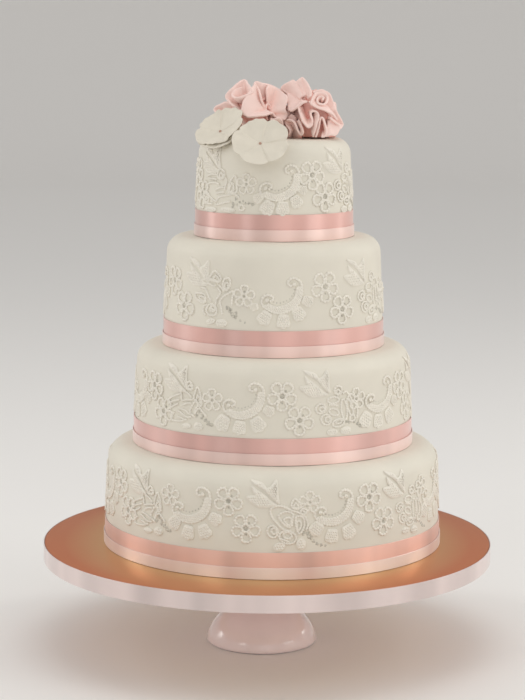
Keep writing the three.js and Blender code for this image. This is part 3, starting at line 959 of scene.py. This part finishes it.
def add_floor():
    """A pale studio floor that bends up into a backdrop."""
    bm = bmesh.new()
    turns = [math.pi / 2 * step / 12 for step in range(13)]
    bend = [(FLOOR_REACH + math.sin(turn), 1 - math.cos(turn)) for turn in turns]
    flat = [(FLOOR_REACH * step / 4, 0) for step in range(4)]
    lathe(bm, flat + bend + [(FLOOR_REACH + 1, 2.4)], (0, 0), 96)
    bmesh.ops.reverse_faces(bm, faces=[face for face in bm.faces if face.normal.z < -0.01
                                       or face.normal.xy.dot(face.calc_center_median().xy) > 0])
    mesh = mesh_of(bm, "floor")
    mesh.shade_smooth()
    mesh.materials.append(plain_material("pale_floor", (0.90, 0.885, 0.87), 0.8))
    add_object("floor", mesh)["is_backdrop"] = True


def light_studio(scene):
    """Soft light all round the cake, with a little more of it from in front."""
    world = bpy.data.worlds.new("studio")
    world.use_nodes = True
    background = world.node_tree.nodes["Background"]
    background.inputs["Color"].default_value = (0.95, 0.94, 0.92, 1)
    background.inputs["Strength"].default_value = 0.60
    scene.world = world
    scene.view_settings.view_transform = "Standard"
    low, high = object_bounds()
    target = (Vector(low) + Vector(high)) / 2
    for name, azimuth, out, height, width, tall, spread, power, colour in LIGHTS:
        light = bpy.data.lights.new(name, "AREA")
        light.shape = "RECTANGLE"
        light.size = width
        light.size_y = tall
        light.spread = math.radians(spread)
        light.energy = power
        light.color = colour
        lamp = add_object(name, light)
        turn = math.radians(azimuth)
        lamp.location = (out * math.sin(turn), -out * math.cos(turn), height)
        lamp.rotation_euler = (target - lamp.location).to_track_quat("-Z", "Y").to_euler()
        lamp.visible_camera = False


def place_camera(scene):
    """The camera of the photograph."""
    board_top = node_box("cake_board")[1].z
    lens = bpy.data.cameras.new("camera")
    lens.lens = CAMERA["lens"]
    lens.sensor_width = 36
    lens.clip_end = 100
    camera = add_object("camera", lens)
    camera.matrix_world = (
        Matrix.Translation((0, -CAMERA["distance"] * MM, (board_top + CAMERA["height"]) * MM))
        @ Matrix.Rotation(math.radians(CAMERA["yaw"]), 4, "Z")
        @ Matrix.Rotation(math.radians(90 - CAMERA["pitch"]), 4, "X")
        @ Matrix.Rotation(math.radians(CAMERA["roll"]), 4, "Z"))
    scene.camera = camera


class CAKE_OT_add_stage(bpy.types.Operator):
    """Add the floor, the studio lights and the camera"""

    bl_idname = "cake.add_stage"
    bl_label = "Add Stage"

    def execute(self, context):
        add_floor()
        light_studio(context.scene)
        place_camera(context.scene)
        return {"FINISHED"}


class CAKE_OT_add_stand(bpy.types.Operator):
    """Add the glazed pedestal"""

    bl_idname = "cake.add_stand"
    bl_label = "Add Pedestal"

    def execute(self, context):
        low, high = node_box("cake_stand")
        dome = [(place.x, place.y) for place in smooth_path(STAND_DOME, step=1.6)]
        bm = bmesh.new()
        lathe(bm, [*STAND_FOOT, *dome, *STAND_PLATE], ((low.x + high.x) / 2, (low.y + high.y) / 2), 128)
        add_piece("pedestal", bm, glaze_material(), "ceramic", "cake_stand")
        return {"FINISHED"}


class CAKE_OT_add_board(bpy.types.Operator):
    """Add the foil drum board and its ribbon edge"""

    bl_idname = "cake.add_board"
    bl_label = "Add Board"

    def execute(self, context):
        low, high = node_box("cake_board")
        outer = (high.y - low.y) / 2 - BOARD_INSET
        edge = BOARD_EDGE
        across, up = BOARD_FOOT
        bm = bmesh.new()
        lathe(bm, [(0, low.z), (outer - across, low.z), (outer, low.z + up), (outer, high.z - edge),
                   (outer - edge / 4, high.z - edge / 4), (outer - edge, high.z), (outer * 0.6, high.z),
                   (0, high.z)], (0, 0), 240)
        add_piece("drum_board", bm, foil_material(), "gold_foil", "cake_board", crease=30)
        low, high = node_box("board_ribbon")
        bm = bmesh.new()
        band(bm, (0, 0), (high.y - low.y) / 2 - EDGING_DEPTH, RIBBON_THICKNESS, low.z, high.z, 240)
        add_piece("board_edging", bm, satin_material("white_satin", colours().edging), "white_ribbon",
                  "board_ribbon", crease=30)
        return {"FINISHED"}


class CAKE_OT_add_tiers(bpy.types.Operator):
    """Add the rolled fondant of the four tiers"""

    bl_idname = "cake.add_tiers"
    bl_label = "Add Tiers"

    def execute(self, context):
        material = fondant_material()
        wave = sizes()["fondant_wave"]
        for tier in tiers():
            rings = int((tier.height - tier.edge) / SIDE_STEP) + 1
            heights = [SIDE_STEP * ring for ring in range(rings)]
            heights += [tier.height - tier.edge * (1 - math.sin(math.pi / 2 * step / EDGE_STEPS))
                        for step in range(1, EDGE_STEPS + 1)]
            outline = [(tier.side(height), height) for height in heights]
            shoulder = outline[-1][0]
            outline += [(shoulder * (1 - step / EDGE_STEPS), tier.height)
                        for step in range(1, EDGE_STEPS + 1)]
            profile = [(0, tier.level)] + [(radius, tier.level + height) for radius, height in outline]
            bm = bmesh.new()
            lathe(bm, profile, (tier.axis, 0), 180)
            swell(bm, wave, FONDANT_SWELL)
            add_piece(f"fondant_{tier.number}", bm, material, "fondant", f"tier_{tier.number}", crease=70)
        return {"FINISHED"}


class CAKE_OT_add_lace(bpy.types.Operator):
    """Pipe the lace on to the tiers"""

    bl_idname = "cake.add_lace"
    bl_label = "Add Lace"

    def execute(self, context):
        draw = random.Random(SEED)
        flower = flower_motif()
        small_flower = flower_motif(first=90, root=2.2, reach=9.0, half=3.1, width=0.84)
        motifs = {"scroll": scroll_motif(), "tab": tab_motif(), "flower_a": flower, "flower_b": flower,
                  "leaf": leaf_motif(), "small": small_flower}
        motifs.update({name: peony(**drawing) for name, drawing in PEONIES.items()})
        icing = (lace_material(), "fondant")
        finishes = {"lines": icing, "fill": icing, "silver": (silver_material(), "silver")}
        for tier in tiers():
            meshes = {part: bmesh.new() for part in finishes}
            for name, along, height, turn, size in lace_places(tier):
                tilt = turn + draw.uniform(-4, 4)
                scale = size * draw.uniform(0.97, 1.03)
                for part, bm in meshes.items():
                    stamp(bm, motifs[name][part], tier, along, height, tilt, scale)
            for part, bm in meshes.items():
                material, slot = finishes[part]
                name = f"lace_{part}_{tier.number}"
                add_piece(name, bm, material, slot, f"tier_{tier.number}", crease=None)
        return {"FINISHED"}


class CAKE_OT_add_ribbons(bpy.types.Operator):
    """Add the two satin ribbons round the foot of each tier"""

    bl_idname = "cake.add_ribbons"
    bl_label = "Add Ribbons"

    def execute(self, context):
        satins = {}
        for width, kind, colour in (("wide", "dusky", colours().dusky), ("narrow", "pale", colours().pale)):
            satin = satin_material(f"{kind}_satin", colour)
            # The lowest tier's ribbons take a satin with painted bounce light: lighter and more peach, as if
            # lit from the foil board.
            painted_bounce = satin_material(f"{kind}_painted_bounce_satin", shade(colour, *PAINTED_BOUNCE_TINT[kind]))
            satins[width] = (f"{kind}_ribbon", satin, painted_bounce)
        for tier in tiers():
            for width, (slot, satin, painted_bounce) in satins.items():
                node = f"ribbon_{width}_{tier.number}"
                low, high = node_box(node)
                inner = (high.y - low.y) / 2 - RIBBON_THICKNESS
                bm = bmesh.new()
                band(bm, (tier.axis, 0), inner, RIBBON_CLOTH, low.z, high.z, 220)
                material = painted_bounce if tier.number == 1 else satin
                add_piece(f"satin_{width}_{tier.number}", bm, material, slot, node, crease=30)
        return {"FINISHED"}


# The folds of each ruffled flower as it faces the camera: where a fold is gathered, how far it narrows
# towards that point, and the points that its rim runs through, from the cake's axis and its top.
RUFFLE_FOLDS = {
    "ruffle_flower_left": (
        {"gather": (-20.8, -17.1, 25.1), "narrow": 0.6, "rim": ((-25.6, -26.7, 22.7), (-32.7, -24.7, 27.9),
         (-39.5, -17.1, 35.4), (-33.9, -15.1, 43.3), (-23.2, -8.3, 51.1), (-18, -21.2, 45.3),
         (-15.2, -25.5, 40.8), (-21.6, -28.5, 37.6), (-30.4, -26.7, 35.8), (-33.9, -22.1, 37.6),
         (-31.2, -18.2, 42.1), (-24.8, -17.6, 44.3))},
        {"gather": (-25.6, -18.4, 21.1), "narrow": 0.7, "rim": ((-43.9, -20, 18.7), (-50.3, -7.6, 24.1),
         (-45.5, -13.1, 28.3), (-37.9, -19.3, 31.4), (-31.9, -21.4, 27.9), (-26.8, -23.6, 23.5))},
        {"gather": (-6.4, -12.5, 24.3), "narrow": 0.85, "rim": ((-18.4, -20.2, 38.6), (-15.2, -16.5, 45.3),
         (-13.4, -12.7, 49.3), (-7.2, -12.3, 48.1), (-0.8, -8.6, 46.9), (6.4, -7.6, 43.7),
         (15, -7.6, 38.2))},
        {"gather": (-3.6, -21.1, 21.1), "narrow": 0.9, "rim": ((-14.4, -34.6, 18.3), (-21.6, -34.9, 18.9),
         (-25.4, -33.2, 24.3), (-24.1, -31.3, 31), (-19.2, -26.5, 39.4), (-14.4, -18.9, 46.5),
         (-10.8, -20.4, 43.7), (-9.2, -24.9, 37.8))},
        {"gather": (-2, -18.8, 21.1), "narrow": 0.85, "rim": ((-3.4, -17, 42.5), (-0.8, -11.5, 45.9),
         (6.4, -8.3, 42.9), (14.5, -22, 37.7), (15.6, -25, 32.2), (13.8, -27, 25.1), (16, -25, 20.3),
         (13.2, -27, 16.3), (8.4, -29, 17.9))},
        {"gather": (-9.6, -18, 26.7), "narrow": 0.6, "rim": ((-24.4, -31.5, 21.1), (-19.2, -35.5, 18.1),
         (-11.2, -36, 18.7), (-3.2, -33.6, 19.7), (2.8, -29.4, 21.1), (5.6, -26.7, 18.3),
         (10.4, -21.6, 15.2), (12, -18.7, 10.8))},
        {"gather": (-16, -19, 20.3), "narrow": 0.5, "rim": ((-46.3, -18.1, 14), (-36.7, -28.4, 15.6),
         (-28.8, -29.5, 14), (-22.4, -33.6, 9.2), (-12.8, -34, 11.6), (-6.4, -31, 7.6), (1.6, -29.5, 10.8),
         (8, -23.2, 6.8), (12, -16.5, 2.9))},
        {"gather": (4, -18, 7.6), "narrow": 0.55, "rim": ((0, -32, 17.1), (4, -32, 17.1), (7.6, -32, 18.1),
         (11.2, -31, 15.2), (12, -29, 10), (13.6, -28, 6), (16.4, -27, 2.9), (14.4, -25, -0.2),
         (10.4, -24, -0.3))},
        {"gather": (8.8, -12, 24.3), "narrow": 0.5, "rim": ((12, -16, 31.4), (16.4, -20, 25.1),
         (17.6, -22, 20.3), (16, -22, 15.6), (14.4, -20, 10.8), (15.2, -18, 6), (13.6, -16, 0.5))},
    ),
    "ruffle_flower_right": (
        {"gather": (32.7, -21.1, 31.4), "narrow": 0.75, "rim": ((15.6, -25, 25.1), (14.5, -18.7, 32.2),
         (14.5, -11.6, 38.6), (8.8, -8, 43.3), (14.4, -11, 48.1), (20, -11.2, 50.5), (22.4, -10.9, 49),
         (25.6, -11.4, 51.7), (28.9, -11.6, 52.7), (32.7, -20.8, 47.3), (35.9, -28.5, 41.6),
         (35.1, -31.7, 37))},
        {"gather": (43.9, -23.2, 26.7), "narrow": 0.5, "rim": ((45.4, -32.2, 34.4), (46.7, -30, 36.6),
         (43.5, -30.2, 37.9), (40.9, -32.6, 35.4), (41.9, -35.7, 31.4), (46.5, -35.1, 30.2),
         (50.3, -30.8, 33.2), (49.5, -26.8, 38.6), (43.9, -27.2, 41.1), (38.7, -30.3, 39.4),
         (35.9, -34.4, 34.6), (35.1, -36.6, 29.4))},
        {"gather": (47.9, -24.6, 21.1), "narrow": 0.8, "rim": ((36.3, -26.2, 40.6), (44.7, -23.6, 42.9),
         (52.1, -21.6, 39.7), (55.7, -23.6, 32.2), (57.7, -25.5, 25.9), (61.9, -22.2, 18.7),
         (64.9, -17.3, 11.4), (61.9, -23.7, 7.6))},
        {"gather": (44.7, -25, 34.6), "narrow": 0.6, "rim": ((33.5, -33.4, 32.2), (37.5, -36.4, 28.3),
         (43.1, -37.2, 25.7), (49.5, -35.7, 23.5), (54.3, -33, 21.1), (59.1, -29.3, 15.6))},
        {"gather": (26.4, -21.9, 33), "narrow": 0.6, "rim": ((15, -24.7, 24.1), (18.8, -29.8, 23.3),
         (24, -33.3, 26.5), (29.2, -34.7, 30.9), (32.7, -33.8, 32.2))},
        {"gather": (32.7, -22.1, 25.1), "narrow": 0.5, "rim": ((24, -33.2, 28.3), (25.6, -36.9, 21.1),
         (29.2, -39, 13.6), (33.5, -39.8, 9), (37.1, -39.4, 11.6), (37.1, -37.9, 17.1), (35.9, -37.3, 21.9),
         (39.1, -36.8, 24.4), (42.5, -37.5, 22.3), (42.3, -39.1, 16.3), (40.1, -39.2, 9.2),
         (37.9, -36.2, 1.1))},
        {"gather": (45.5, -25.4, 14), "narrow": 0.5, "rim": ((39.9, -36.2, 1.1), (41.5, -37.9, 7.6),
         (43.1, -37.5, 17.1), (45.9, -36.6, 19.1), (47.9, -37.2, 14.8), (49.5, -36.6, 7.6),
         (48.7, -35.6, 1.7), (44.7, -36, 1.1))},
        {"gather": (21.6, -20.5, 10.8), "narrow": 0.5, "rim": ((15.8, -24.6, 1.1), (17.6, -28.9, 5.2),
         (15, -27, 10), (12.9, -23.7, 14.1), (15.6, -26.8, 16.6), (20, -31.9, 16.2), (23.2, -34.8, 11.6),
         (24.8, -35.5, 6), (27.6, -35.9, 2.5), (29.7, -37, 6), (27.8, -36.2, 12.4), (25.2, -33.6, 17.1))},
        {"gather": (50.3, -29.6, 19.5), "narrow": 0.8, "rim": ((48.7, -34.2, 1.4), (53.5, -32.5, 2.5),
         (57.9, -28.6, 2.9), (61.9, -24.9, 9.4), (57.9, -30.4, 14), (53.1, -33.6, 18.7))},
        {"gather": (20, -12, -0.5), "narrow": 0.97, "rim": ((12, -22, -0.7), (14, -22, 6),
         (14.8, -22, 10.8), (16.4, -23, 18.7), (20, -24, 21.1), (24, -24, 15.6), (25.6, -23, 7.6),
         (28.8, -22, -0.3))},
        {"gather": (21.6, -12, 22.7), "narrow": 0.97, "rim": ((14.4, -17, 17.1), (14, -16, 24.3),
         (16, -16, 29.8), (22.4, -18, 31.4), (28.8, -20, 26.7), (28, -20, 18.7), (21.6, -19, 15.6))},
    ),
}

# Short folds that fill each ruffled flower's sides and back: elevation of a row and how many it has, and
# the points of a rim, in degrees across and up from a fold's middle.
FILLER_ROWS = ((-14, 9), (16, 8), (46, 6), (78, 4))
FILLER_RIM = ((-17, -20), (-16, 6), (-8, 17), (0, 6), (-3, -12), (5, -20), (14, -10), (16, 12))


class Heap:
    """The rounded outline of a ruffled flower, from its CAD node."""

    def __init__(self, node):
        low, high = node_box(node)
        self.top = low.z
        self.foot = low.z + 1.0
        self.heart = Vector(((low.x + high.x) / 2, (low.y + high.y) / 2, low.z + HEAP_MIDDLE))
        self.radii = Vector(((high.x - low.x) / 2, (high.y - low.y) / 2, high.z - low.z - HEAP_MIDDLE))

    def out(self, way, share):
        """A point at a share of the way to the outline, no lower than the foot."""
        place = self.heart + way * self.radii * share
        place.z = max(place.z, self.foot)
        return place

    def point(self, azimuth, elevation, share):
        """A point at a share of the way to the outline, as seen from the flower's heart."""
        turn = math.radians(azimuth)
        tilt = math.radians(elevation)
        way = Vector((math.cos(turn) * math.cos(tilt), math.sin(turn) * math.cos(tilt), math.sin(tilt)))
        return self.out(way, share)


def gathered_fold(bm, fold, facing, seed, step=1.1):
    """A soft sheet that spreads from where it is gathered and bends over to its rim."""
    rim = smooth_path(fold["rim"], step=step)
    gather = Vector(fold["gather"])
    rows = round(9.9 / step)
    sheet = bmesh.ops.create_grid(bm, x_segments=len(rim) - 1, y_segments=rows, size=1)["verts"]
    for vert in sheet:
        out = (vert.co.y + 1) / 2
        reach = rim[round((vert.co.x + 1) / 2 * (len(rim) - 1))] - gather
        forward = reach.project(facing)
        aside = reach - forward
        place = gather + forward * (1 - (1 - out) ** FOLD_BEND)
        place += aside * (1 - fold["narrow"] * (1 - out ** FOLD_SPREAD))
        vert.co = place + noise.noise_vector(place / FOLD_WAVE + Vector((0, 0, seed))) * FOLD_WOBBLE
    return sheet


def filler_folds(heap, draw):
    """Short folds round a ruffled flower's sides and back, each with the way it faces."""
    for elevation, count in FILLER_ROWS:
        squeeze = math.cos(math.radians(min(elevation, 60)))
        for step in range(count):
            azimuth = FILLER_START + FILLER_SWEEP * (step + 0.5 * draw.random()) / count
            spin = Matrix.Rotation(draw.uniform(0, math.tau), 2)
            rim = []
            for point in FILLER_RIM:
                across, up = spin @ Vector(point)
                share = 0.83 - 0.0013 * elevation + draw.uniform(-0.05, 0.03)
                rim.append(heap.point(azimuth + across / squeeze, elevation + up, share))
            yield ({"rim": rim, "gather": heap.point(azimuth, elevation, 0.5), "narrow": 0.4},
                   heap.point(azimuth, elevation, 1) - heap.heart)


def add_heap_heart(node, heap, material):
    """The paste that the folds of a ruffled flower are pressed on to, which shows between them in the
    painted shade of the deep folds.
    """
    bm = bmesh.new()
    for vert in bmesh.ops.create_icosphere(bm, subdivisions=3, radius=1)["verts"]:
        skirt = min(1.25, 1 / max(0.1, vert.co.xy.length)) if vert.co.z < 0 else 1.0
        vert.co = heap.out(Vector((vert.co.x * skirt, vert.co.y * skirt, vert.co.z)), HEART_SHARE)
    add_piece(f"{node}_heart", bm, material, "ruffle", node, crease=None)


class CAKE_OT_add_ruffles(bpy.types.Operator):
    """Add the two pink ruffled flowers"""

    bl_idname = "cake.add_ruffles"
    bl_label = "Add Ruffled Flowers"

    def execute(self, context):
        noise.seed_set(SEED)
        for number, (node, folds) in enumerate(RUFFLE_FOLDS.items()):
            heap = Heap(node)
            # The painted shade of the deep folds centres a little above the flower's foot.
            depth = Vector((0, 0, HEAP_MIDDLE - PAINTED_SHADE_MIDDLE))
            material = ruffle_material(f"ruffle_paste_{number + 1}", heap.heart - depth, heap.radii + depth)
            front = bmesh.new()
            back = bmesh.new()
            for seed, fold in enumerate(folds):
                gathered_fold(front, fold, FRONT, seed)
                sheet = gathered_fold(back, fold, FRONT, seed + 20, step=1.4)
                bmesh.ops.translate(back, vec=(0, 0, heap.top), verts=sheet)
                bmesh.ops.scale(back, vec=BACK_SCALE, space=Matrix.Translation(-heap.heart), verts=sheet)
            bmesh.ops.translate(front, vec=(0, 0, heap.top), verts=front.verts)
            for seed, (fold, facing) in enumerate(filler_folds(heap, random.Random(SEED + number))):
                gathered_fold(back, fold, facing, seed + 40, step=1.6)
            for name, bm in (("front", front), ("back", back)):
                strips = add_piece(f"{node}_{name}", bm, material, "ruffle", node, crease=None)
                thicken(strips, sizes()["ruffle_thickness"])
            add_heap_heart(node, heap, material)
        return {"FINISHED"}


def between(values, place):
    """A value that changes smoothly from one petal's middle to the next petal's, all the way round."""
    place -= 0.5
    step = math.floor(place)
    part = place - step
    blend = part * part * (3 - 2 * part)
    return values[step % len(values)] * (1 - blend) + values[(step + 1) % len(values)] * blend


def petals_sheet(bm, layer, seed):
    """A round of petals: each laps a little over the next, and their edge is frilled."""
    count = len(layer["reach"])
    sheet = bmesh.ops.create_grid(bm, x_segments=30 * count, y_segments=16, size=1)["verts"]
    for vert in sheet:
        angle = math.pi * vert.co.x
        way = Vector((math.sin(angle), math.cos(angle), 0))
        out = (vert.co.y + 1) / 2
        petal = (angle - math.radians(layer["turn"])) / math.tau * count % count
        across = 2 * (petal % 1) - 1
        lap = (1 + across) / 2 if across < LAP_START else (1 - across) / LAP_FALL
        frill = noise.noise(way * FRILL_WAVES + Vector((0, 0, seed)))
        fine = noise.noise(way * FINE_WAVES + Vector((0, 0, seed + 5)))
        edge = between(layer["reach"], petal) * (1 - layer["notch"] * across ** 6)
        edge *= 1 + 0.05 * frill + 0.03 * fine
        rise = layer["low"] + between(layer["lift"], petal) * out ** 2.2
        rise += PETAL_LAP * lap * min(1.0, out * 2)
        rise += FRILL_RISE * frill * out ** 3 + FINE_RISE * fine * out ** 6
        rise += PETAL_CUP * (1 - across ** 2) * out * (1 - out)
        vert.co = way * edge * (0.02 + 0.98 * out) + Vector((0, 0, rise))
    bmesh.ops.remove_doubles(bm, verts=bm.verts, dist=WELD)
    bmesh.ops.recalc_face_normals(bm, faces=bm.faces)


def blossom_place(flower, top):
    """Where a blossom's hub lies on the top tier, turned the way that the blossom faces."""
    azimuth = math.radians(flower["azimuth"])
    elevation = math.radians(flower["elevation"])
    facing = Vector((math.sin(azimuth) * math.cos(elevation), -math.cos(azimuth) * math.cos(elevation),
                     math.sin(elevation)))
    x, y, z = flower["hub"]
    turn = Vector((0, 0, 1)).rotation_difference(facing).to_matrix().to_4x4()
    return Matrix.Translation((top.axis + x, y, top.level + z)) @ turn


def add_cup(node, place, material):
    """The small icing cup that holds a blossom's petals together at the back."""
    bm = bmesh.new()
    bmesh.ops.create_cone(bm, cap_ends=True, segments=20, radius1=2.6, radius2=6.5, depth=7.0,
                          matrix=place @ Matrix.Translation((0, 0, -3.6)))
    rim = [edge for edge in bm.edges if len(edge.link_faces) == 2 and edge.calc_face_angle() > 0.8]
    bmesh.ops.bevel(bm, geom=rim, offset=0.8, offset_type="OFFSET", segments=3, profile=0.5,
                    affect="EDGES", material=-1)
    add_piece(f"{node}_cup", bm, material, "petal", node)


class CAKE_OT_add_blossoms(bpy.types.Operator):
    """Add the two white sugar blossoms"""

    bl_idname = "cake.add_blossoms"
    bl_label = "Add Blossoms"

    def execute(self, context):
        top = tiers()[-1]
        white = petal_material()
        dusky = heart_material()
        for number, (node, flower) in enumerate(BLOSSOMS.items()):
            place = blossom_place(flower, top)
            bm = bmesh.new()
            for seed, layer in enumerate(flower["layers"]):
                petals_sheet(bm, layer, seed + 10 * number)
            bmesh.ops.transform(bm, matrix=place, verts=bm.verts)
            petals = add_piece(f"{node}_petals", bm, white, "petal", node, crease=None)
            thicken(petals, sizes()["petal_thickness"])
            bm = bmesh.new()
            bmesh.ops.create_uvsphere(bm, u_segments=16, v_segments=10, radius=1.2,
                                      matrix=place @ Matrix.Translation((0, 0, 0.7)))
            add_piece(f"{node}_heart", bm, dusky, "petal", node, crease=None)
            add_cup(node, place, white)
        return {"FINISHED"}


class CAKE_PT_panel(bpy.types.Panel):
    """The cake's pieces and finishes"""

    bl_idname = "CAKE_PT_panel"
    bl_label = "Wedding Cake"
    bl_space_type = "VIEW_3D"
    bl_region_type = "UI"
    bl_category = "Cake"

    def draw(self, context):
        for group in (context.scene.cake_sizes, context.scene.cake_colours):
            box = self.layout.box()
            for name in group.__annotations__:
                box.prop(group, name)
        for operator in OPERATORS:
            self.layout.operator(operator.bl_idname)


OPERATORS = (CAKE_OT_add_stage, CAKE_OT_add_stand, CAKE_OT_add_board, CAKE_OT_add_tiers, CAKE_OT_add_lace,
             CAKE_OT_add_ribbons, CAKE_OT_add_ruffles, CAKE_OT_add_blossoms)
CLASSES = (CakeSizes, CakeColours, *OPERATORS, CAKE_PT_panel)


def register():
    for cls in CLASSES:
        bpy.utils.register_class(cls)
    bpy.types.Scene.cake_sizes = bpy.props.PointerProperty(type=CakeSizes)
    bpy.types.Scene.cake_colours = bpy.props.PointerProperty(type=CakeColours)


def unregister():
    del bpy.types.Scene.cake_colours
    del bpy.types.Scene.cake_sizes
    for cls in reversed(CLASSES):
        bpy.utils.unregister_class(cls)


def main():
    register()
    bpy.ops.cake.add_stage()
    bpy.ops.cake.add_stand()
    bpy.ops.cake.add_board()
    bpy.ops.cake.add_tiers()
    bpy.ops.cake.add_lace()
    bpy.ops.cake.add_ribbons()
    bpy.ops.cake.add_ruffles()
    bpy.ops.cake.add_blossoms()


if __name__ == "__main__":
    main()
